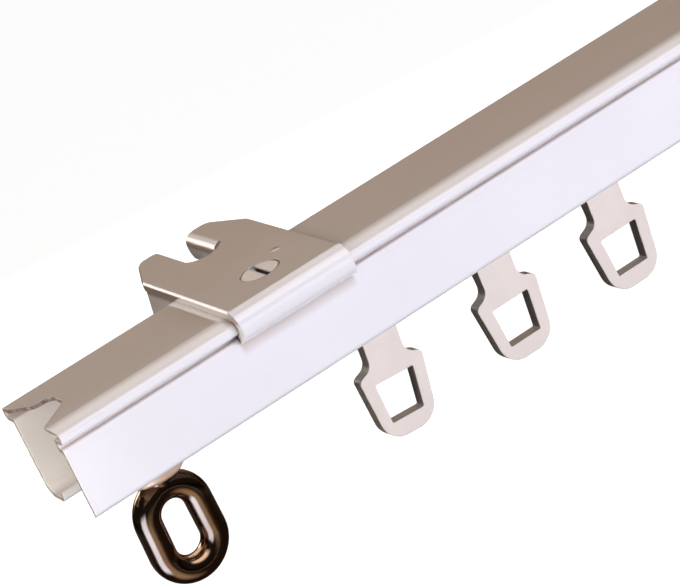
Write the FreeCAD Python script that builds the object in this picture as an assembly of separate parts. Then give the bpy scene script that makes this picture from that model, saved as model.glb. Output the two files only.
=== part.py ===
"""Curtain track: a rolled sheet rail with a clip bracket, three gliders and an eye stop.

Millimetres, +Z up. X runs along the rail, -Y is the room side, +Y the wall side.
The origin is on the bracket's top face, midway between its screw and its fixing slot.
"""
import FreeCAD, Part
import math
import os

V = FreeCAD.Vector

# Rail, rolled from thin sheet with a hollow bead along each top edge
RAIL_LENGTH = 152.0
RAIL_HEIGHT = 14.4
BEAD_WIDTH = 21.0
BEAD_HEIGHT = 2.1
CROWN_START = 8.0
CROWN_DROP = 0.38
CROWN_RADIUS = 21.0
GROOVE_HEIGHT = 0.9
GROOVE_DEPTH = 1.1
FRONT_BODY = 9.1
REAR_BODY = 7.9
WALL = 0.6
SLOT_WIDTH = 4.4
LIP_RISE = 1.0
FRONT_FOOT_RADIUS = 1.0
REAR_FOOT_RADIUS = 2.4
FLANGE_CUT = 6.0
INNER_RADIUS = 0.35
GROOVE_EDGE_RADIUS = 0.35
BEAD_RADIUS = 0.95
BEAD_UNDER_RADIUS = 0.8
LIP_RADIUS = 0.25
NOTCH_DEPTH = 5.4
NOTCH_FRONT = -5.7
NOTCH_FRONT_TURN = -0.9
NOTCH_REAR_TURN = 3.7
NOTCH_REAR = 8.0
NOTCH_FLARE_DEPTH = 2.6
NOTCH_RADIUS = 1.4
NOTCH_FLARE_RADIUS = 2.0
BRACKET_FROM_END = 39.7

# Bracket, one folded sheet
SHEET = 1.4
PLATE_WIDTH = 19.6
CLIP_CLEARANCE = 0.1
REAR_REACH = 17.8
PRONG_TIP_RADIUS = 2.0
PRONG_TIP_INSET = 3.4
SHOULDER_SETBACK = 8.4
FIXING_SLOT_WIDTH = 5.6
FIXING_SLOT_DEPTH = 13.0
SLOT_ROUNDING = 2.7
SLOT_MOUTH_RADIUS = 1.2
SLOT_FLANGE_INSET = 1.0
SLOT_FLANGE_DROP = 3.6
SLOT_FLANGE_START = 17.8
SLOT_FLANGE_SETBACK = 0.5
SLOT_FLANGE_TIP_RADIUS = 1.5
SLOT_RELIEF_WIDTH = 0.9
BEND_RADIUS = 1.6
PLATE_CHAMFER = 0.3
EAR_DROP = 6.5
EAR_HOOK_HEIGHT = 1.6
EAR_SETBACK = 0.8
EAR_FLARE = 3.0
EAR_CORNER_RADIUS = 1.2

# Slotted countersunk screw through the plate and the rail's top wall
SCREW_HEAD_DIAMETER = 6.2
SCREW_DIAMETER = 3.4
SCREW_LENGTH = 5.0
SCREW_RIM = 0.35
SCREW_SLOT_WIDTH = 0.9
SCREW_SLOT_DEPTH = 0.8
SCREW_POINT = 1.2
SCREW_FROM_CENTRE = 1.9
FIT_CLEARANCE = 0.03

# Gliders, moulded in one piece with head, neck and hook plate
GLIDER_COUNT = 3
GLIDER_PITCH = 21.1
FIRST_GLIDER = 13.1
FIRST_GLIDER_SWING = 4.0
RUN_CLEARANCE = 0.25
HEAD_LENGTH = 8.0
HEAD_SIDE_GAP = 1.0
HEAD_THICKNESS = 1.8
HEAD_CORNER_RADIUS = 0.6
NECK_WIDTH = 6.1
NECK_THICKNESS = 3.0
NECK_DROP = 5.0
PLATE_THICKNESS = 2.2
SHOULDER_WIDTH = 11.2
SHOULDER_DROP = 8.2
GLIDER_DROP = 19.0
TOE_WIDTH = 8.6
TOE_RADIUS = 3.6
SHOULDER_RADIUS = 0.9
NECK_RADIUS = 1.9
NECK_FLARE = 1.1
HOOK_TOP_WIDTH = 6.8
HOOK_BOTTOM_WIDTH = 5.6
HOOK_HEIGHT = 6.6
HOOK_RIM = 2.7
HOOK_CORNER_RADIUS = 0.25

# End stop: a screw eye that clamps a washer and a nut plate on the lips
STOP_FROM_END = 12.9
EYE_WIRE = 4.2
EYE_WIDTH = 8.6
EYE_TOP_WIDTH = 8.4
EYE_CENTRES = 4.9
EYE_NECK = 0.3
SHANK_DIAMETER = 4.0
SHANK_ABOVE_NUT = 1.0
WASHER_DIAMETER = 9.6
WASHER_THICKNESS = 2.6
WASHER_CHAMFER = 0.4
NUT_LENGTH = 10.0
NUT_WIDTH = 11.0
NUT_THICKNESS = 2.4
NUT_CHAMFER = 0.5
CLAMP_CLEARANCE = 0.05

# Levels and places that follow from the sizes above
RAIL_TOP = -SHEET
RAIL_BOTTOM = RAIL_TOP - RAIL_HEIGHT
FLANGE_TOP = RAIL_BOTTOM + WALL
LIP_TOP = FLANGE_TOP + LIP_RISE
RAIL_START = -BRACKET_FROM_END
INNER_HALF = REAR_BODY - WALL
STOP_X = RAIL_START + STOP_FROM_END
BEAD = BEAD_WIDTH / 2
UNDER_BEAD = RAIL_TOP - BEAD_HEIGHT
GROOVE_BOTTOM = UNDER_BEAD - GROOVE_HEIGHT
REAR = BEAD + REAR_REACH
SCREW_EDGE = SCREW_HEAD_DIAMETER / 2 - SCREW_FROM_CENTRE
ORIGIN_Y = (SCREW_EDGE + REAR - FIXING_SLOT_DEPTH) / 2
TOLERANCE = 1e-6


def rounded_wire(points):
    """Closed wire through (vector, radius) corners, each rounded by a tangent arc."""
    count = len(points)
    starts = []
    ends = []
    arcs = []
    for i in range(count):
        corner, radius = points[i]
        before = points[i - 1][0]
        after = points[(i + 1) % count][0]
        to_before = (before - corner).normalize()
        to_after = (after - corner).normalize()
        if radius <= 0:
            starts.append(corner)
            ends.append(corner)
            arcs.append(None)
            continue
        half = to_before.getAngle(to_after) / 2
        tangent = radius / math.tan(half)
        middle = (to_before + to_after).normalize()
        centre = corner + middle * (radius / math.sin(half))
        start = corner + to_before * tangent
        end = corner + to_after * tangent
        starts.append(start)
        ends.append(end)
        arcs.append(Part.Arc(start, centre - middle * radius, end).toShape())
    edges = []
    for i in range(count):
        if arcs[i] is not None:
            edges.append(arcs[i])
        following = starts[(i + 1) % count]
        if ends[i].distanceToPoint(following) > TOLERANCE:
            edges.append(Part.LineSegment(ends[i], following).toShape())
    return Part.Wire(edges)


def prism(points, along):
    """Solid from rounded corner points, extruded by a vector."""
    return Part.Face(rounded_wire(points)).extrude(along)


def box(x0, x1, y0, y1, z0, z1):
    """Box between two corners."""
    return Part.makeBox(x1 - x0, y1 - y0, z1 - z0, V(x0, y0, z0))


def edges_where(shape, test):
    """Edges of a shape whose two ends and middle all pass a test."""
    found = []
    for edge in shape.Edges:
        middle = edge.valueAt((edge.FirstParameter + edge.LastParameter) / 2)
        ends = [vertex.Point for vertex in edge.Vertexes]
        if all(test(point) for point in ends + [middle]):
            found.append(edge)
    return found


def rail_foot(body, radius):
    """Corners (y, z, radius) of one flange, round its turned-up lip and back to the wall."""
    slot = SLOT_WIDTH / 2
    return [
        (body, RAIL_BOTTOM, radius),
        (slot, RAIL_BOTTOM, INNER_RADIUS + WALL),
        (slot, LIP_TOP, LIP_RADIUS),
        (slot + WALL, LIP_TOP, LIP_RADIUS),
        (slot + WALL, FLANGE_TOP, INNER_RADIUS),
        (body - WALL, FLANGE_TOP, radius - WALL),
    ]


def bead_hollow():
    """Corners (y, z, radius) of the hollow inside a bead, from below to the top wall."""
    return [
        (BEAD - WALL, UNDER_BEAD + WALL, INNER_RADIUS),
        (BEAD - WALL, RAIL_TOP - WALL, INNER_RADIUS),
    ]


def rail_front():
    """Corners of the front half: slight fall of the top, bead, groove, wall, flange and back inside."""
    groove = FRONT_BODY - GROOVE_DEPTH
    outside = [
        (CROWN_START, RAIL_TOP, CROWN_RADIUS),
        (BEAD, RAIL_TOP - CROWN_DROP, BEAD_RADIUS),
        (BEAD, UNDER_BEAD, BEAD_UNDER_RADIUS),
        (groove, UNDER_BEAD, GROOVE_EDGE_RADIUS),
        (groove, GROOVE_BOTTOM, GROOVE_EDGE_RADIUS),
        (FRONT_BODY, GROOVE_BOTTOM, GROOVE_EDGE_RADIUS),
    ]
    inside = [
        (FRONT_BODY - WALL, GROOVE_BOTTOM - WALL, INNER_RADIUS),
        (groove - WALL, GROOVE_BOTTOM - WALL, INNER_RADIUS),
        (groove - WALL, UNDER_BEAD + WALL, INNER_RADIUS),
    ]
    return outside + rail_foot(FRONT_BODY, FRONT_FOOT_RADIUS) + inside + bead_hollow()


def rail_rear():
    """Corners of the rear half: bead, wall straight below it, flange and back inside."""
    outside = [
        (BEAD, RAIL_TOP, BEAD_RADIUS),
        (BEAD, UNDER_BEAD, BEAD_UNDER_RADIUS),
        (REAR_BODY, UNDER_BEAD, GROOVE_EDGE_RADIUS),
    ]
    inside = [(REAR_BODY - WALL, UNDER_BEAD + WALL, INNER_RADIUS)]
    return outside + rail_foot(REAR_BODY, REAR_FOOT_RADIUS) + inside + bead_hollow()


def make_rail():
    """Rolled rail with the notch in its top, the front flange cut back at the end and the screw hole."""
    loop = [(V(RAIL_START, y, z), r) for y, z, r in rail_rear()]
    loop += [(V(RAIL_START, -y, z), r) for y, z, r in reversed(rail_front())]
    rail = prism(loop, V(RAIL_LENGTH, 0, 0))
    below = RAIL_TOP - 1.5 * WALL
    outline = [
        (-NOTCH_DEPTH, NOTCH_FRONT, 0),
        (0, NOTCH_FRONT, 0),
        (NOTCH_DEPTH, NOTCH_FRONT_TURN, NOTCH_RADIUS),
        (NOTCH_DEPTH, NOTCH_REAR_TURN, NOTCH_RADIUS),
        (NOTCH_FLARE_DEPTH, NOTCH_REAR_TURN, NOTCH_FLARE_RADIUS),
        (0, NOTCH_REAR, 0),
        (-NOTCH_DEPTH, NOTCH_REAR, 0),
    ]
    notch = prism([(V(RAIL_START + x, y, below), r) for x, y, r in outline], V(0, 0, 2 * WALL))
    hole_radius = SCREW_DIAMETER / 2 + FIT_CLEARANCE
    screw_hole = Part.makeCylinder(hole_radius, 2 * WALL, V(0, -SCREW_FROM_CENTRE, below))
    cut_end = RAIL_START + FLANGE_CUT
    flange_cut = box(RAIL_START, cut_end, WALL - FRONT_BODY, 0, RAIL_BOTTOM - WALL, LIP_TOP + WALL)
    return rail.cut([notch, screw_hole, flange_cut])


def bracket_plate(front):
    """Flat of the bracket with its forked rear and open-ended fixing slot."""
    side = PLATE_WIDTH / 2
    slot = FIXING_SLOT_WIDTH / 2
    right = [
        (side, front, 0),
        (side, REAR - SHOULDER_SETBACK, PRONG_TIP_RADIUS),
        (side - PRONG_TIP_INSET, REAR, PRONG_TIP_RADIUS),
        (slot, REAR, SLOT_MOUTH_RADIUS),
        (slot, REAR - FIXING_SLOT_DEPTH, SLOT_ROUNDING),
    ]
    loop = [(V(x, y, -SHEET), r) for x, y, r in right]
    loop += [(V(-x, y, -SHEET), r) for x, y, r in reversed(right)]
    plate = prism(loop, V(0, 0, SHEET))
    top = edges_where(plate, lambda p: p.z > -TOLERANCE)
    rims = [edge for edge in top if edge.BoundBox.YMax > front + TOLERANCE]
    return plate.makeChamfer(PLATE_CHAMFER, rims)


def front_roll(front):
    """Front of the sheet, rolled half a turn round the rail's front bead."""
    side = PLATE_WIDTH / 2
    inner = BEAD_HEIGHT / 2 + CLIP_CLEARANCE
    outer = inner + SHEET
    centre = V(-side, front, RAIL_TOP - inner)
    cylinder = Part.makeCylinder(outer, PLATE_WIDTH, centre, V(1, 0, 0))
    hollow = Part.makeCylinder(inner, PLATE_WIDTH, centre, V(1, 0, 0))
    rear_half = box(-side, side, front, front + outer, centre.z - outer, centre.z + outer)
    return cylinder.cut(hollow).cut(rear_half)


def ear(x_inner, x_outer):
    """Side ear behind the rail, with the hook that goes under the rear bead."""
    bead = BEAD + CLIP_CLEARANCE
    hook_tip = REAR_BODY + CLIP_CLEARANCE
    hook_top = UNDER_BEAD - CLIP_CLEARANCE
    ear_rear = REAR - SHOULDER_SETBACK - EAR_SETBACK
    foot = RAIL_TOP - EAR_DROP
    profile = [
        (bead, -SHEET / 2, 0),
        (bead, hook_top, 0),
        (hook_tip, hook_top, 0),
        (hook_tip, hook_top - EAR_HOOK_HEIGHT, 0),
        (bead + EAR_FLARE, foot, EAR_CORNER_RADIUS),
        (ear_rear + EAR_FLARE, foot, EAR_CORNER_RADIUS),
        (ear_rear, -SHEET / 2, 0),
    ]
    low = min(x_inner, x_outer)
    loop = [(V(low, y, z), r) for y, z, r in profile]
    return prism(loop, V(abs(x_outer - x_inner), 0, 0))


def slot_flange():
    """Sheet beside the slot, bent down round a radius, with a rounded free corner."""
    face = FIXING_SLOT_WIDTH / 2 - SLOT_FLANGE_INSET
    inner = BEND_RADIUS - SHEET
    end = REAR - SLOT_FLANGE_SETBACK
    corners = [
        (V(face, SLOT_FLANGE_START, 0), BEND_RADIUS),
        (V(face, SLOT_FLANGE_START, -SLOT_FLANGE_DROP), 0),
        (V(face + SHEET, SLOT_FLANGE_START, -SLOT_FLANGE_DROP), 0),
        (V(face + SHEET, SLOT_FLANGE_START, -SHEET), inner),
        (V(face + 2 * SHEET, SLOT_FLANGE_START, -SHEET), 0),
        (V(face + 2 * SHEET, SLOT_FLANGE_START, 0), 0),
    ]
    flange = prism(corners, V(0, end - SLOT_FLANGE_START, 0))
    tip = edges_where(flange, lambda p: p.y > end - TOLERANCE and p.z < TOLERANCE - SLOT_FLANGE_DROP)
    return flange.makeFillet(SLOT_FLANGE_TIP_RADIUS, tip)


def make_bracket():
    """Folded sheet bracket: plate, front roll, two hooked ears and the flange beside the slot."""
    front = -(BEAD_WIDTH - BEAD_HEIGHT) / 2
    side = PLATE_WIDTH / 2
    slot = FIXING_SLOT_WIDTH / 2
    bend_start = slot - SLOT_FLANGE_INSET + BEND_RADIUS
    relief_start = SLOT_FLANGE_START - SLOT_RELIEF_WIDTH
    room = box(0, bend_start, relief_start, 2 * REAR, -2 * SHEET, SHEET)
    bracket = bracket_plate(front).cut(room)
    ears = [ear(side - SHEET, side), ear(-side + SHEET, -side)]
    bracket = bracket.fuse([front_roll(front), slot_flange()] + ears).removeSplitter()
    seat = Part.makeCone(
        SCREW_DIAMETER / 2 + FIT_CLEARANCE, SCREW_HEAD_DIAMETER / 2 + FIT_CLEARANCE, SHEET - SCREW_RIM,
        V(0, -SCREW_FROM_CENTRE, -SHEET)
    )
    rim = Part.makeCylinder(
        SCREW_HEAD_DIAMETER / 2 + FIT_CLEARANCE, SHEET, V(0, -SCREW_FROM_CENTRE, -SCREW_RIM)
    )
    return bracket.cut(seat.fuse(rim))


def make_bracket_screw():
    """Slotted countersunk screw, its head with a bevelled rim and level with the plate."""
    head = SCREW_HEAD_DIAMETER / 2
    shank = SCREW_DIAMETER / 2
    tip = -SHEET - SCREW_LENGTH
    outline = [
        V(0, 0, 0),
        V(head - SCREW_RIM, 0, 0),
        V(head, 0, -SCREW_RIM),
        V(shank, 0, -SHEET),
        V(shank, 0, tip + SCREW_POINT),
        V(0, 0, tip),
        V(0, 0, 0),
    ]
    screw = Part.Face(Part.makePolygon(outline)).revolve(V(0, 0, 0), V(0, 0, 1), 360)
    half_slot = SCREW_SLOT_WIDTH / 2
    screw = screw.cut(box(-half_slot, half_slot, -head, head, -SCREW_SLOT_DEPTH, SHEET))
    screw.translate(V(0, -SCREW_FROM_CENTRE, 0))
    return screw


def glider_head(lift):
    """Head that straddles the two lips and runs on the rail's flanges."""
    foot = FLANGE_TOP + RUN_CLEARANCE
    under = LIP_TOP + RUN_CLEARANCE
    top = under + HEAD_THICKNESS
    outer = INNER_HALF - HEAD_SIDE_GAP
    inner = SLOT_WIDTH / 2 + WALL + 2 * RUN_CLEARANCE
    half = [
        (outer, top, HEAD_CORNER_RADIUS),
        (outer, foot, HEAD_CORNER_RADIUS),
        (inner, foot, 0),
        (inner, under, 0),
    ]
    loop = [(V(-HEAD_LENGTH / 2, y, z + lift), r) for y, z, r in half]
    loop += [(V(-HEAD_LENGTH / 2, -y, z + lift), r) for y, z, r in reversed(half)]
    return prism(loop, V(HEAD_LENGTH, 0, 0))


def hook_plate():
    """Flat lower part: concave neck, shoulders, tapering sides and the trapezoid hook hole."""
    neck = NECK_WIDTH / 2
    shoulder = SHOULDER_WIDTH / 2
    shoulder_z = RAIL_BOTTOM - SHOULDER_DROP
    toe_z = RAIL_BOTTOM - GLIDER_DROP
    half = [
        (neck, RAIL_BOTTOM, 0),
        (neck, shoulder_z + NECK_FLARE, NECK_RADIUS),
        (shoulder, shoulder_z, SHOULDER_RADIUS),
        (TOE_WIDTH / 2, toe_z, TOE_RADIUS),
    ]
    loop = [(V(x, -PLATE_THICKNESS / 2, z), r) for x, z, r in half]
    loop += [(V(-x, -PLATE_THICKNESS / 2, z), r) for x, z, r in reversed(half)]
    plate = prism(loop, V(0, PLATE_THICKNESS, 0))
    low = toe_z + HOOK_RIM
    hole = [
        (HOOK_BOTTOM_WIDTH / 2, low),
        (HOOK_TOP_WIDTH / 2, low + HOOK_HEIGHT),
        (-HOOK_TOP_WIDTH / 2, low + HOOK_HEIGHT),
        (-HOOK_BOTTOM_WIDTH / 2, low),
    ]
    corners = [(V(x, -PLATE_THICKNESS, z), HOOK_CORNER_RADIUS) for x, z in hole]
    return plate.cut(prism(corners, V(0, 2 * PLATE_THICKNESS, 0)))


def glider_neck(lift):
    """Thicker neck below the head, thinning down to the plate."""
    low = RAIL_BOTTOM - NECK_DROP
    high = LIP_TOP + RUN_CLEARANCE + HEAD_THICKNESS / 2 + lift
    half = [
        (NECK_THICKNESS / 2, high),
        (NECK_THICKNESS / 2, RAIL_BOTTOM),
        (PLATE_THICKNESS / 2, low),
    ]
    loop = [(V(-NECK_WIDTH / 2, y, z), 0) for y, z in half]
    loop += [(V(-NECK_WIDTH / 2, -y, z), 0) for y, z in reversed(half)]
    return prism(loop, V(NECK_WIDTH, 0, 0))


def make_glider(x, swing):
    """One glider at a place along the rail, swung by an angle in the rail's own plane."""
    lift = math.sin(math.radians(abs(swing))) * HEAD_LENGTH / 2
    glider = hook_plate().fuse([glider_neck(lift), glider_head(lift)]).removeSplitter()
    glider.rotate(V(0, 0, LIP_TOP), V(0, 1, 0), swing)
    glider.translate(V(x, 0, 0))
    return glider


def make_stop_nut():
    """Nut plate inside the channel, lying on the lips."""
    low = LIP_TOP + CLAMP_CLEARANCE
    length = NUT_LENGTH / 2
    width = NUT_WIDTH / 2
    plate = box(-length, length, -width, width, low, low + NUT_THICKNESS)
    upper = edges_where(plate, lambda p: p.z > low + NUT_THICKNESS - TOLERANCE)
    plate = plate.makeChamfer(NUT_CHAMFER, upper)
    plate = plate.cut(shank_bore())
    plate.translate(V(STOP_X, 0, 0))
    return plate


def shank_bore():
    """Hole for the eye's shank, on the stop's own axis."""
    radius = SHANK_DIAMETER / 2 + FIT_CLEARANCE
    return Part.makeCylinder(radius, 2 * RAIL_HEIGHT, V(0, 0, RAIL_BOTTOM - RAIL_HEIGHT))


def make_stop_washer():
    """Round washer under the lips."""
    top = RAIL_BOTTOM - CLAMP_CLEARANCE
    washer = Part.makeCylinder(WASHER_DIAMETER / 2, WASHER_THICKNESS, V(0, 0, top - WASHER_THICKNESS))
    rims = [edge for edge in washer.Edges if edge.Curve.TypeId == "Part::GeomCircle"]
    washer = washer.makeChamfer(WASHER_CHAMFER, rims).cut(shank_bore())
    washer.translate(V(STOP_X, 0, 0))
    return washer


def wire_disc(place, along):
    """Round section of the eye's wire at a place, square to a direction."""
    return Part.Face(Part.Wire([Part.makeCircle(EYE_WIRE / 2, place, along)]))


def make_screw_eye():
    """Screw eye: an egg-shaped loop of round wire under a straight shank."""
    low_radius = EYE_WIDTH / 2
    high_radius = EYE_TOP_WIDTH / 2
    washer_low = RAIL_BOTTOM - CLAMP_CLEARANCE - WASHER_THICKNESS
    high_centre = V(0, 0, washer_low - EYE_NECK - EYE_WIRE / 2 - high_radius)
    low_centre = high_centre - V(0, 0, EYE_CENTRES)
    lean = math.asin((low_radius - high_radius) / EYE_CENTRES)
    lean_degrees = math.degrees(lean)
    right = V(math.cos(lean), 0, math.sin(lean))
    left = V(-right.x, 0, right.z)
    right_high = high_centre + right * high_radius
    right_low = low_centre + right * low_radius
    left_low = low_centre + left * low_radius
    left_high = high_centre + left * high_radius
    down = right_low - right_high
    up = left_high - left_low
    axis = V(0, 1, 0)
    right_side = wire_disc(right_high, down).extrude(down)
    low_arc = wire_disc(right_low, down).revolve(low_centre, axis, 180 + 2 * lean_degrees)
    left_side = wire_disc(left_low, up).extrude(up)
    top_arc = wire_disc(left_high, up).revolve(high_centre, axis, 180 - 2 * lean_degrees)
    shank_low = high_centre.z + high_radius
    shank_high = LIP_TOP + CLAMP_CLEARANCE + NUT_THICKNESS + SHANK_ABOVE_NUT
    shank = Part.makeCylinder(SHANK_DIAMETER / 2, shank_high - shank_low, V(0, 0, shank_low))
    eye = right_side.fuse([low_arc, left_side, top_arc, shank])
    eye.translate(V(STOP_X, 0, 0))
    return eye


def save(name, shape):
    """Write one piece, moved to the part's origin, as a STEP file and say what it holds."""
    print(name, "valid", shape.isValid(), "solids", len(shape.Solids), "volume", round(shape.Volume, 2))
    placed = shape.copy()
    placed.translate(V(0, -ORIGIN_Y, 0))
    placed.exportStep("parts/" + name + ".step")


os.makedirs("parts", exist_ok=True)
save("rail", make_rail())
save("bracket", make_bracket())
save("bracket_screw", make_bracket_screw())
for number in range(GLIDER_COUNT):
    glider_swing = FIRST_GLIDER_SWING if number == 0 else 0.0
    save("glider_" + str(number + 1), make_glider(FIRST_GLIDER + number * GLIDER_PITCH, glider_swing))
save("stop_nut", make_stop_nut())
save("stop_washer", make_stop_washer())
save("screw_eye", make_screw_eye())
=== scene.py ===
"""Looks of the curtain track: paint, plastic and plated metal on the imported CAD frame."""
import math

import bpy
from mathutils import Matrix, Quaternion, Vector

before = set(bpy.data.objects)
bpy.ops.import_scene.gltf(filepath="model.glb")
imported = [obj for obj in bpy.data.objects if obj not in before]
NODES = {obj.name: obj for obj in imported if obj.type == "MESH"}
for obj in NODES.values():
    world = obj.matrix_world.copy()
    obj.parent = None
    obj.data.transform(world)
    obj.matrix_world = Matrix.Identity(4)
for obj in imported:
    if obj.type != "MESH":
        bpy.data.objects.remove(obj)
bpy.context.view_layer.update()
SCENE = bpy.context.scene

# Camera at the photograph's angle
CAMERA_PLACE = (-0.1446528, -0.4110447, 0.1500772)
CAMERA_TURN = (0.7561853, 0.5706288, 0.0184469, -0.3197283)
CAMERA_LENS = 167.585
CAMERA_SENSOR = 36.0
CAMERA_NEAR = 0.01

# Colours, linear
RAIL_WHITE = (0.86, 0.84, 0.855)
BRACKET_WHITE = (0.86, 0.84, 0.845)
GLIDER_WHITE = (0.75, 0.675, 0.61)
ZINC = (0.94, 0.88, 0.83)
ZINC_CLOUD = (0.88, 0.82, 0.77)
NUT_CLOUD = (0.60, 0.58, 0.54)
WASHER_TAN = (0.72, 0.53, 0.40)
WASHER_CLOUD = (0.58, 0.41, 0.29)
BRONZE = (0.33, 0.215, 0.14)
BRONZE_CLOUD = (0.27, 0.165, 0.10)
FLOOR_WHITE = (0.16, 0.16, 0.16)
# Painted shade colour: creases, the shadow under the bracket's roll and the bracket's sheared edge
PAINTED_SHADE = (0.36, 0.25, 0.18)
# Painted shade colour for the gliders' side walls
GLIDER_SIDE_SHADE = (0.20, 0.15, 0.12)
# Bare metal darkened with painted shade, for the rail's cut ends and notch edge
BARE_STEEL_AND_SHADE = (0.13, 0.09, 0.07)
# Painted shade colour in the screw's slot
SLOT_SHADE = (0.02, 0.016, 0.013)

# Paint on rail and bracket
RAIL_GRAIN = (0.05, 1, 1)
RAIL_SPECKS = 0.30
RAIL_SHADE_REACH = 0.003
BRACKET_GRAIN = (1, 0.3, 1)
BRACKET_SPECKS = 0.35
BRACKET_SHADE_REACH = 0.0013
COAT = 0.5
COAT_ROUGHNESS = 0.10
PAINT_IOR = 1.48
PAINT_ROUGHNESS = (0.13, 0.17)
PAINT_EDGE = 0.00022

# Bare metal with painted shade on the rail's cut ends and round its notch, metres
BARE_AND_SHADE_SHARE = 0.9
BARE_ROUGHNESS = 0.7
NOTCH_PLACE = (-0.0370, -0.0072, -0.0017)
NOTCH_REACH = (0.0032, 0.0074, 0.00035)
NOTCH_FADE = 0.0001

# Painted shadow on the rail's front wall under the bracket's roll, metres
ROLL_SHADOW_HALF_WIDTH = 0.0102
ROLL_SHADOW_HEIGHTS = (-0.0072, -0.0046)
ROLL_SHADOW_FADE = 0.0006
ROLL_SHADOW_SHARE = 0.75

# Painted shade on the bracket's sheared side edge, and the bracket's blister, metres
EDGE_SHADE_ABOVE = -0.0015
EDGE_SHADE_FADE = 0.0006
EDGE_SHADE_SHARE = 0.8
BLISTER_PLACE = (0.0050, -0.0061, 0.0)
BLISTER_RADIUS = 0.0009
BLISTER_HEIGHT = 0.00025

# Bracket screw: painted shade in its slot and a slight tilt of its head, metres
SLOT_LEVEL = -0.00015
SLOT_HALF_WIDTH = 0.0005
SLOT_FADE = 0.0002
SCREW_TILT = 0.075
SCREW_EDGE = 0.0002

# Plated metal and moulded plastic
PLATE_ROUGHNESS = (0.30, 0.42)
NUT_ROUGHNESS = (0.28, 0.42)
POLISHED_ROUGHNESS = (0.09, 0.15)
METAL_EDGE = 0.0003
WASHER_METALLIC = 0.3
PLASTIC_ROUGHNESS = (0.32, 0.46)
PLASTIC_EDGE = 0.0003
PLASTIC_SIDE_SHADE_SHARE = 0.72

# Levels of a noise: its middle range, and the peaks that make small spots
MIDDLE = (0.3, 0.7)
SPOTS = (0.70, 0.76)
PITS = (0.70, 0.75)

# Studio, metres and degrees
TARGET = Vector((0.02, -0.008, -0.015))
EYE_TARGET = Vector((-0.027, -0.008, -0.027))
FLOOR_LEVEL = -0.30
FLOOR_HALF = 6.0
FLOOR_GLOW = 0.96
AIR_TONE = (1.0, 0.86, 0.74, 1)
AIR_STRENGTH = 0.025
END_LAMP_PLACE = Vector((-0.070, -0.020, -0.011))
END_LAMP_AIM = Vector((-0.036, -0.005, -0.009))


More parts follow.
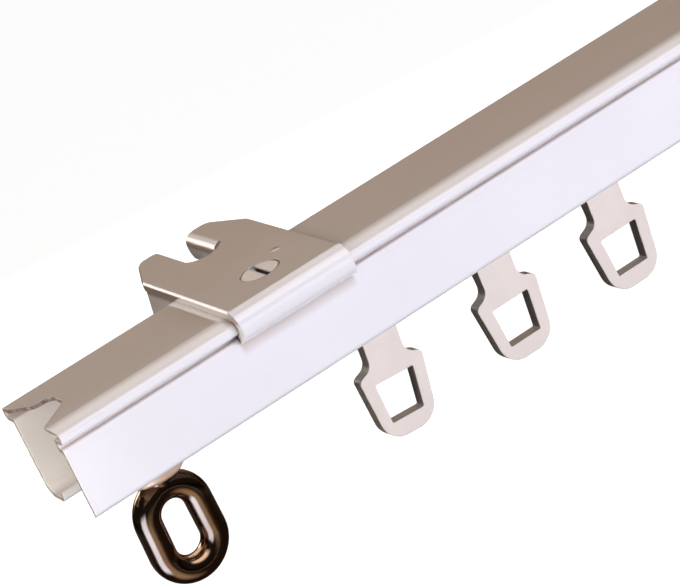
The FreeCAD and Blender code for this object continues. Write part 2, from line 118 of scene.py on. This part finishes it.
class Tree:
    """Small helper that adds nodes to one material and links them."""

    def __init__(self, name):
        self.material = bpy.data.materials.new(name)
        self.material.use_nodes = True
        self.nodes = self.material.node_tree.nodes
        self.links = self.material.node_tree.links
        self.shader = self.nodes["Principled BSDF"]
        self.position = self.add("ShaderNodeTexCoord").outputs["Object"]
        self.facing = self.add("ShaderNodeNewGeometry").outputs["True Normal"]

    def add(self, kind, **values):
        """New node with some of its settings."""
        node = self.nodes.new(kind)
        for key, value in values.items():
            setattr(node, key, value)
        return node

    def link(self, source, target):
        """Join an output socket to an input socket."""
        self.links.new(source, target)

    def set(self, **values):
        """Constants straight on the shader's sockets."""
        for key, value in values.items():
            self.shader.inputs[key.replace("_", " ")].default_value = value

    def stretched(self, scale):
        """Position stretched by a factor on each axis."""
        mapping = self.add("ShaderNodeMapping")
        mapping.inputs["Scale"].default_value = scale
        self.link(self.position, mapping.inputs["Vector"])
        return mapping.outputs["Vector"]

    def noise(self, scale, stretch=(1, 1, 1), detail=4.0):
        """Soft noise of a given scale over the piece."""
        node = self.add("ShaderNodeTexNoise")
        node.inputs["Scale"].default_value = scale
        node.inputs["Detail"].default_value = detail
        node.inputs["Roughness"].default_value = 0.55
        self.link(self.stretched(stretch), node.inputs["Vector"])
        return node.outputs["Fac"]

    def span(self, value, source, result):
        """Value mapped from one range to another and held inside it."""
        node = self.add("ShaderNodeMapRange")
        node.inputs["From Min"].default_value = source[0]
        node.inputs["From Max"].default_value = source[1]
        node.inputs["To Min"].default_value = result[0]
        node.inputs["To Max"].default_value = result[1]
        self.link(value, node.inputs["Value"])
        return node.outputs["Result"]

    def axis(self, vector, name):
        """One component of a vector."""
        node = self.add("ShaderNodeSeparateXYZ")
        self.link(vector, node.inputs[0])
        return node.outputs[name]

    def size(self, vector, name):
        """One component of a vector without its sign."""
        node = self.add("ShaderNodeMath", operation="ABSOLUTE")
        self.link(self.axis(vector, name), node.inputs[0])
        return node.outputs[0]

    def joined(self, operation, first, second):
        """Two values joined by an operation."""
        node = self.add("ShaderNodeMath", operation=operation)
        self.link(first, node.inputs[0])
        self.link(second, node.inputs[1])
        return node.outputs[0]

    def product(self, first, second):
        """Two values multiplied."""
        return self.joined("MULTIPLY", first, second)

    def near(self, place, radius):
        """One at a place, falling smoothly to nothing at a radius from it."""
        node = self.add("ShaderNodeVectorMath", operation="DISTANCE")
        self.link(self.position, node.inputs[0])
        node.inputs[1].default_value = place
        slope = self.span(node.outputs["Value"], (0, radius), (1, 0))
        slope.node.interpolation_type = "SMOOTHSTEP"
        return slope

    def within(self, place, reach, fade):
        """One inside a box given by its middle and its reach on each axis, nothing outside."""
        shift = self.add("ShaderNodeVectorMath", operation="SUBTRACT")
        self.link(self.position, shift.inputs[0])
        shift.inputs[1].default_value = place
        away = shift.outputs["Vector"]
        sides = [
            self.span(self.size(away, name), (limit, limit + fade), (1, 0))
            for name, limit in zip("XYZ", reach)
        ]
        return self.product(self.product(sides[0], sides[1]), sides[2])

    def upright(self):
        """One on walls, nothing on level faces."""
        return self.span(self.size(self.facing, "Z"), (0.4, 0.6), (1, 0))

    def crevice(self, distance):
        """How shut in a spot is by what lies within a distance."""
        node = self.add("ShaderNodeAmbientOcclusion", samples=8)
        node.inputs["Distance"].default_value = distance
        return self.span(node.outputs["AO"], (0.35, 0.95), (1, 0))

    def colours(self, value, first, second):
        """Mix of two colours by a value."""
        node = self.add("ShaderNodeMix", data_type="RGBA")
        node.inputs["A"].default_value = (*first, 1)
        node.inputs["B"].default_value = (*second, 1)
        self.link(value, node.inputs["Factor"])
        return node.outputs["Result"]

    def mixed(self, value, first, second):
        """Mix of a colour socket towards a second colour by a value."""
        node = self.add("ShaderNodeMix", data_type="RGBA")
        self.link(first, node.inputs["A"])
        node.inputs["B"].default_value = (*second, 1)
        self.link(value, node.inputs["Factor"])
        return node.outputs["Result"]

    def bump(self, height, strength, distance, normal):
        """Normal tilted by a height."""
        node = self.add("ShaderNodeBump")
        node.inputs["Strength"].default_value = strength
        node.inputs["Distance"].default_value = distance
        self.link(height, node.inputs["Height"])
        self.link(normal, node.inputs["Normal"])
        return node.outputs["Normal"]

    def bevel(self, radius):
        """Normal with softened edges."""
        node = self.add("ShaderNodeBevel", samples=6)
        node.inputs["Radius"].default_value = radius
        return node.outputs["Normal"]

    def finish(self, colour, rough, normal):
        """Link colour, roughness and normal to the shader."""
        self.link(colour, self.shader.inputs["Base Color"])
        self.link(rough, self.shader.inputs["Roughness"])
        self.link(normal, self.shader.inputs["Normal"])
        return self.material


def shade(colour, factor):
    """Colour made lighter or darker."""
    return tuple(min(1.0, c * factor) for c in colour)


def paint_tree(name):
    """Start of a gloss paint, with its clear coat."""
    tree = Tree(name)
    tree.set(Coat_Weight=COAT, Coat_Roughness=COAT_ROUGHNESS, IOR=PAINT_IOR)
    return tree


def paint_colour(tree, colour, spot_share, crease):
    """Paint with a faint cloud, small specks and painted shade in the creases."""
    cloud = tree.span(tree.noise(60, detail=5), MIDDLE, (0, 1))
    base = tree.colours(cloud, shade(colour, 0.985), shade(colour, 1.012))
    specks = tree.span(tree.noise(2600, detail=2), SPOTS, (0, spot_share))
    base = tree.mixed(specks, base, shade(colour, 0.72))
    patches = tree.span(tree.noise(300), (0.2, 0.6), (0.3, 0.45))
    # Painted shade: darker brown where ambient occlusion finds a crease, in patches
    return tree.mixed(tree.product(tree.crevice(crease), patches), base, PAINTED_SHADE)


def paint_gloss(tree, grain):
    """Roughness of the paint, in faint streaks along the grain."""
    return tree.span(tree.noise(240, stretch=grain), MIDDLE, PAINT_ROUGHNESS)


def paint_skin(tree, grain):
    """Softened edges, drawing lines along the grain and orange peel."""
    normal = tree.bevel(PAINT_EDGE)
    normal = tree.bump(tree.noise(900, stretch=grain, detail=3), 0.03, 0.00004, normal)
    return tree.bump(tree.noise(1400, detail=1), 0.04, 0.00003, normal)


def bare_and_shaded_ends(tree):
    """Share of bare metal darkened with painted shade on the rail's cut ends and on the torn edge of its
    notch.
    """
    ends = tree.span(tree.size(tree.facing, "X"), (0.15, 0.3), (0, BARE_AND_SHADE_SHARE))
    torn = tree.product(tree.upright(), tree.within(NOTCH_PLACE, NOTCH_REACH, NOTCH_FADE))
    patches = tree.span(tree.noise(900, detail=3), (0.35, 0.5), (0.8, 1.0))
    return tree.product(tree.joined("MAXIMUM", ends, torn), patches)


def roll_shadow(tree):
    """Share of painted shadow on the rail's front wall under the bracket's roll."""
    across = (ROLL_SHADOW_HALF_WIDTH - ROLL_SHADOW_FADE, ROLL_SHADOW_HALF_WIDTH)
    aside = tree.span(tree.size(tree.position, "X"), across, (1, 0))
    height = tree.span(tree.axis(tree.position, "Z"), ROLL_SHADOW_HEIGHTS, (0, ROLL_SHADOW_SHARE))
    front = tree.span(tree.axis(tree.facing, "Y"), (-0.5, -0.4), (1, 0))
    return tree.product(tree.product(aside, height), front)


def sheared_edge_shade(tree):
    """Share of painted shade on the bracket's sheared left edge."""
    left = tree.span(tree.axis(tree.facing, "X"), (-0.95, -0.85), (EDGE_SHADE_SHARE, 0))
    heights = (EDGE_SHADE_ABOVE - EDGE_SHADE_FADE, EDGE_SHADE_ABOVE)
    above = tree.span(tree.axis(tree.position, "Z"), heights, (0, 1))
    return tree.product(left, above)


def rail_paint():
    """White gloss paint on the rail, bare and darkened with painted shade where it is cut, with painted
    shade in creases and a painted shadow under the bracket's roll.
    """
    tree = paint_tree("rail paint")
    base = paint_colour(tree, RAIL_WHITE, RAIL_SPECKS, RAIL_SHADE_REACH)
    bare = bare_and_shaded_ends(tree)
    # Bare metal with painted shade on the cut ends and the notch edge
    base = tree.mixed(bare, base, BARE_STEEL_AND_SHADE)
    # Painted shadow under the bracket's roll on the rail's front wall
    base = tree.mixed(roll_shadow(tree), base, PAINTED_SHADE)
    coat = tree.span(bare, (0, BARE_AND_SHADE_SHARE), (COAT, 0))
    tree.link(coat, tree.shader.inputs["Coat Weight"])
    matt = tree.span(bare, (0, BARE_AND_SHADE_SHARE), (0, BARE_ROUGHNESS))
    rough = tree.joined("MAXIMUM", paint_gloss(tree, RAIL_GRAIN), matt)
    return tree.finish(base, rough, paint_skin(tree, RAIL_GRAIN))


def bracket_paint():
    """White gloss paint on the bracket, with painted shade on its sheared edge and a blister."""
    tree = paint_tree("bracket paint")
    base = paint_colour(tree, BRACKET_WHITE, BRACKET_SPECKS, BRACKET_SHADE_REACH)
    # Painted shade along the bracket's sheared left edge
    base = tree.mixed(sheared_edge_shade(tree), base, PAINTED_SHADE)
    blister = tree.near(BLISTER_PLACE, BLISTER_RADIUS)
    normal = tree.bump(blister, 1.0, BLISTER_HEIGHT, paint_skin(tree, BRACKET_GRAIN))
    return tree.finish(base, paint_gloss(tree, BRACKET_GRAIN), normal)


def glider_plastic():
    """Off-white moulded plastic with faint flow marks, a satin skin and painted shade on its side walls.
    """
    tree = Tree("glider plastic")
    tree.set(Subsurface_Weight=0.03, Subsurface_Radius=(0.0012, 0.0009, 0.0007))
    tree.set(Specular_IOR_Level=0.3)
    flow = tree.span(tree.noise(180, stretch=(1, 1, 0.35)), MIDDLE, (0, 1))
    base = tree.colours(flow, shade(GLIDER_WHITE, 0.96), shade(GLIDER_WHITE, 1.03))
    specks = tree.span(tree.noise(3000, detail=2), SPOTS, (0, 0.35))
    base = tree.mixed(specks, base, shade(GLIDER_WHITE, 0.75))
    # Painted shade: side walls darkened towards brown
    side = tree.span(tree.size(tree.facing, "Y"), (0.3, 0.5), (PLASTIC_SIDE_SHADE_SHARE, 0))
    base = tree.mixed(side, base, GLIDER_SIDE_SHADE)
    rough = tree.span(tree.noise(500), MIDDLE, PLASTIC_ROUGHNESS)
    normal = tree.bump(tree.noise(2200, detail=2), 0.12, 0.00003, tree.bevel(PLASTIC_EDGE))
    return tree.finish(base, rough, normal)


def metal_colour(tree, colour, cloud_colour):
    """Plated metal with a cloudy tone and small pits."""
    cloud = tree.span(tree.noise(260, detail=6), (0.35, 0.68), (0, 1))
    base = tree.colours(cloud, colour, cloud_colour)
    pits = tree.span(tree.noise(3400, detail=2), PITS, (0, 0.6))
    return tree.mixed(pits, base, shade(colour, 0.5))


def metal_gloss(tree, roughness):
    """Roughness of the metal, in fine polishing marks."""
    return tree.span(tree.noise(700, stretch=(1, 1, 3), detail=5), MIDDLE, roughness)


def metal_skin(tree, edge):
    """Softened edges and fine polishing marks."""
    marks = tree.noise(1500, stretch=(1, 1, 4), detail=3)
    return tree.bump(marks, 0.08, 0.00003, tree.bevel(edge))


def metal(name, colour, cloud_colour, roughness, metallic=1.0):
    """Plated metal."""
    tree = Tree(name)
    tree.set(Metallic=metallic)
    base = metal_colour(tree, colour, cloud_colour)
    return tree.finish(base, metal_gloss(tree, roughness), metal_skin(tree, METAL_EDGE))


def screw_zinc():
    """Dull zinc plate on the bracket screw, with painted shade in its slot and a slightly tilted head.
    """
    tree = Tree("zinc plate")
    sunk = tree.span(tree.axis(tree.position, "Z"), (SLOT_LEVEL - SLOT_FADE, SLOT_LEVEL), (1, 0))
    across = (SLOT_HALF_WIDTH, SLOT_HALF_WIDTH + SLOT_FADE)
    slot = tree.span(tree.size(tree.position, "X"), across, (1, 0))
    # Painted shade darkens the sunk middle of the slot
    base = tree.mixed(tree.product(sunk, slot), metal_colour(tree, ZINC, ZINC_CLOUD), SLOT_SHADE)
    back = tree.axis(tree.position, "Y")
    normal = tree.bump(back, 1.0, SCREW_TILT, metal_skin(tree, SCREW_EDGE))
    return tree.finish(base, metal_gloss(tree, PLATE_ROUGHNESS), normal)


def dress(node, material):
    """Give a CAD node its material."""
    mesh = NODES[node].data
    mesh.materials.clear()
    mesh.materials.append(material)


def around(target, azimuth, elevation, distance):
    """Place at an azimuth and elevation in degrees and a distance from a target."""
    a, e = math.radians(azimuth), math.radians(elevation)
    away = Vector((math.cos(e) * math.cos(a), math.cos(e) * math.sin(a), math.sin(e)))
    return target + away * distance


def stand(holder, place, aim):
    """Put an object at a place, turned to an aim."""
    holder.location = place
    holder.rotation_euler = (place - aim).to_track_quat("Z", "Y").to_euler()
    SCENE.collection.objects.link(holder)


def area_light(name, place, aim, size, power, colour):
    """Soft box that lights but does not mirror."""
    light = bpy.data.lights.new(name, "AREA")
    light.shape = "RECTANGLE"
    light.size, light.size_y = size
    light.energy = power
    light.color = colour
    holder = bpy.data.objects.new(name, light)
    holder.visible_glossy = False
    stand(holder, place, aim)


def rectangle(name, wide, high, level=0.0):
    """Flat rectangle given by half its width and half its height."""
    corners = [(-wide, -high, level), (wide, -high, level), (wide, high, level), (-wide, high, level)]
    mesh = bpy.data.meshes.new(name)
    mesh.from_pydata(corners, [], [(0, 1, 2, 3)])
    return bpy.data.objects.new(name, mesh)


def mirror_card(name, place, aim, size, colour, strength, soft):
    """Toned card with faded edges that only mirrors in glossy surfaces and neither lights nor shades."""
    wide, high = size[0] / 2, size[1] / 2
    card = rectangle(name, wide, high)
    stand(card, place, aim)
    tree = Tree(name)
    tree.set(Base_Color=(0, 0, 0, 1), Specular_IOR_Level=0.0, Emission_Strength=strength)
    tone = tree.colours(tree.noise(4), shade(colour, 0.95), colour)
    tree.link(tone, tree.shader.inputs["Emission Color"])
    fade_wide = tree.span(tree.size(tree.position, "X"), (wide * (1 - soft), wide), (1, 0))
    fade_high = tree.span(tree.size(tree.position, "Y"), (high * (1 - soft), high), (1, 0))
    tree.link(tree.product(fade_wide, fade_high), tree.shader.inputs["Alpha"])
    card.data.materials.append(tree.material)
    card.visible_camera = False
    card.visible_diffuse = False
    card.visible_shadow = False
    card.visible_transmission = False


# Materials
dress("rail", rail_paint())
dress("bracket", bracket_paint())
plastic = glider_plastic()
for number in (1, 2, 3):
    dress("glider_%d" % number, plastic)
nut_metal = metal("nut plate", ZINC, NUT_CLOUD, NUT_ROUGHNESS)
washer_metal = metal("washer plate", WASHER_TAN, WASHER_CLOUD, PLATE_ROUGHNESS, WASHER_METALLIC)
eye_metal = metal("dark bronze", BRONZE, BRONZE_CLOUD, POLISHED_ROUGHNESS)
dress("bracket_screw", screw_zinc())
dress("stop_nut", nut_metal)
dress("stop_washer", washer_metal)
dress("screw_eye", eye_metal)

# Floor, white where it is seen and grey where it lights
floor = rectangle("floor", FLOOR_HALF, FLOOR_HALF, FLOOR_LEVEL)
SCENE.collection.objects.link(floor)
floor_tree = Tree("floor white")
floor_tree.set(Specular_IOR_Level=0.0, Emission_Color=(1, 1, 1, 1))
seen = floor_tree.add("ShaderNodeLightPath").outputs["Is Camera Ray"]
glow = floor_tree.span(seen, (0, 1), (0, FLOOR_GLOW))
floor_tree.link(glow, floor_tree.shader.inputs["Emission Strength"])
floor_tone = floor_tree.colours(floor_tree.noise(3), shade(FLOOR_WHITE, 0.99), FLOOR_WHITE)
floor_rough = floor_tree.span(floor_tree.noise(9), (0, 1), (0.7, 0.8))
floor_tree.finish(floor_tone, floor_rough, floor_tree.bevel(0.001))
floor.data.materials.append(floor_tree.material)

# World, white where it is seen, dim and warm where it lights
world = bpy.data.worlds.new("studio")
SCENE.world = world
world.use_nodes = True
world_nodes = world.node_tree.nodes
world_links = world.node_tree.links
world_nodes.clear()
world_out = world_nodes.new("ShaderNodeOutputWorld")
world_mix = world_nodes.new("ShaderNodeMixShader")
world_rays = world_nodes.new("ShaderNodeLightPath")
dim = world_nodes.new("ShaderNodeBackground")
dim.inputs["Color"].default_value = AIR_TONE
dim.inputs["Strength"].default_value = AIR_STRENGTH
bright = world_nodes.new("ShaderNodeBackground")
bright.inputs["Color"].default_value = (1, 1, 1, 1)
bright.inputs["Strength"].default_value = 1.0
world_links.new(world_rays.outputs["Is Camera Ray"], world_mix.inputs[0])
world_links.new(dim.outputs[0], world_mix.inputs[1])
world_links.new(bright.outputs[0], world_mix.inputs[2])
world_links.new(world_mix.outputs[0], world_out.inputs[0])

# Lamps: name, azimuth, elevation, distance, size, power, colour
LAMPS = (
    ("key", -74, 3, 0.9, (0.7, 0.4), 10.2, (0.89, 0.885, 0.975)),
    ("left warm", 180, 28, 0.8, (0.25, 0.35), 2.0, (1.0, 0.84, 0.70)),
    ("warm top", 70, 62, 0.9, (0.5, 0.5), 1.3, (1.0, 0.68, 0.44)),
    ("back fill", 76, -1, 1.0, (0.6, 0.4), 6.5, (1.0, 0.97, 0.94)),
)
for name, azimuth, elevation, distance, size, power, colour in LAMPS:
    area_light(name, around(TARGET, azimuth, elevation, distance), TARGET, size, power, colour)
area_light("end lamp", END_LAMP_PLACE, END_LAMP_AIM, (0.010, 0.016), 0.0165, (1.0, 0.92, 0.79))

# Mirror cards: name, azimuth, elevation, distance, size, colour, strength, soft edge, target
CARDS = (
    ("back card", 80, 14, 0.5, (1.2, 0.20), (0.63, 0.41, 0.22), 0.56, 0.3, TARGET),
    ("sky card", 75, 50, 0.6, (1.2, 0.66), (1.0, 0.94, 0.91), 2.5, 0.4, TARGET),
    ("top card", -75, 62, 0.6, (1.2, 0.7), (1.0, 0.97, 0.97), 3.0, 0.5, TARGET),
    ("edge card", 114, 18, 0.35, (0.13, 0.13), (1.0, 0.97, 0.94), 5.0, 0.3, TARGET),
    ("dark card", -90, -89, 0.28, (1.6, 1.6), (0.03, 0.02, 0.014), 1.0, 0.3, TARGET),
    ("left strip", -145, -20, 0.20, (0.17, 0.26), (0.46, 0.63, 1.0), 5.4, 0.4, EYE_TARGET),
    ("front tan", -108, -40, 0.22, (0.22, 0.36), (0.90, 0.76, 0.60), 0.9, 0.7, EYE_TARGET),
)
for name, azimuth, elevation, distance, size, colour, strength, soft, target in CARDS:
    mirror_card(name, around(target, azimuth, elevation, distance), target, size, colour, strength, soft)

# Camera
camera = bpy.data.cameras.new("camera")
camera.lens = CAMERA_LENS
camera.sensor_width = CAMERA_SENSOR
camera.sensor_fit = "HORIZONTAL"
camera.clip_start = CAMERA_NEAR
camera_holder = bpy.data.objects.new("camera", camera)
camera_holder.location = CAMERA_PLACE
camera_holder.rotation_mode = "QUATERNION"
camera_holder.rotation_quaternion = Quaternion(CAMERA_TURN)
SCENE.collection.objects.link(camera_holder)
SCENE.camera = camera_holder
SCENE.view_settings.view_transform = "Standard"
